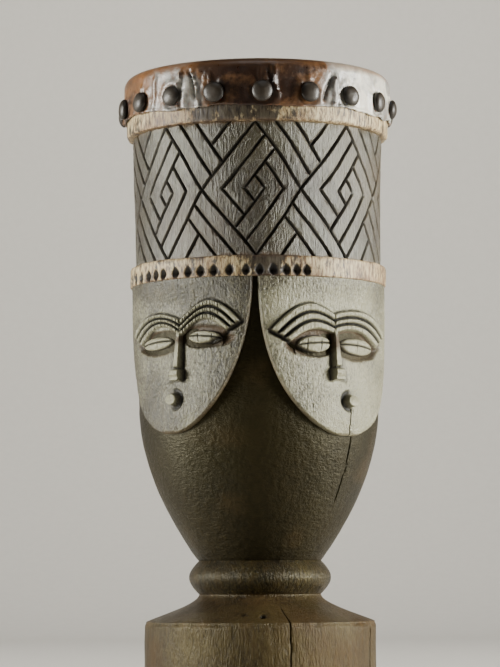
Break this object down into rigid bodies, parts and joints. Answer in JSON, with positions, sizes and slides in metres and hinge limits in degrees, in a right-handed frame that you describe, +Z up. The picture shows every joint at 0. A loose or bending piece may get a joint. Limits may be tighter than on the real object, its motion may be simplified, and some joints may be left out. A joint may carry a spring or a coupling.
{
  "type": "single-headed drum",
  "caption": "Hollow carved wooden drum on a round foot, with masks round the bowl, a scored lattice above and a pegged rawhide head.",
  "frame": {"origin": "middle of the foot's underside", "axes": "+Z up the drum's axis, -Y towards the front, where the two detailed masks meet"},
  "size_m": [0.2958, 0.2986, 0.6564],
  "materials": {
    "carved_wood": "dark brown-black patina, worn to a grey sheen on the raised carving, pale tan on the two bands",
    "rawhide": "dried rawhide, puckered, brown to pale tan with a translucent orange rim",
    "peg_wood": "dark brown hardwood, worn satin"
  },
  "bodies": {
    "root": {"drum_body": "carved_wood", "drum_head": "rawhide", "peg_01": "peg_wood", "peg_02": "peg_wood", "peg_03": "peg_wood", "peg_04": "peg_wood", "peg_05": "peg_wood", "peg_06": "peg_wood", "peg_07": "peg_wood", "peg_08": "peg_wood", "peg_09": "peg_wood", "peg_10": "peg_wood", "peg_11": "peg_wood", "peg_12": "peg_wood", "peg_13": "peg_wood", "peg_14": "peg_wood", "peg_15": "peg_wood", "peg_16": "peg_wood", "peg_17": "peg_wood", "peg_18": "peg_wood"}
  },
  "joints": []
}
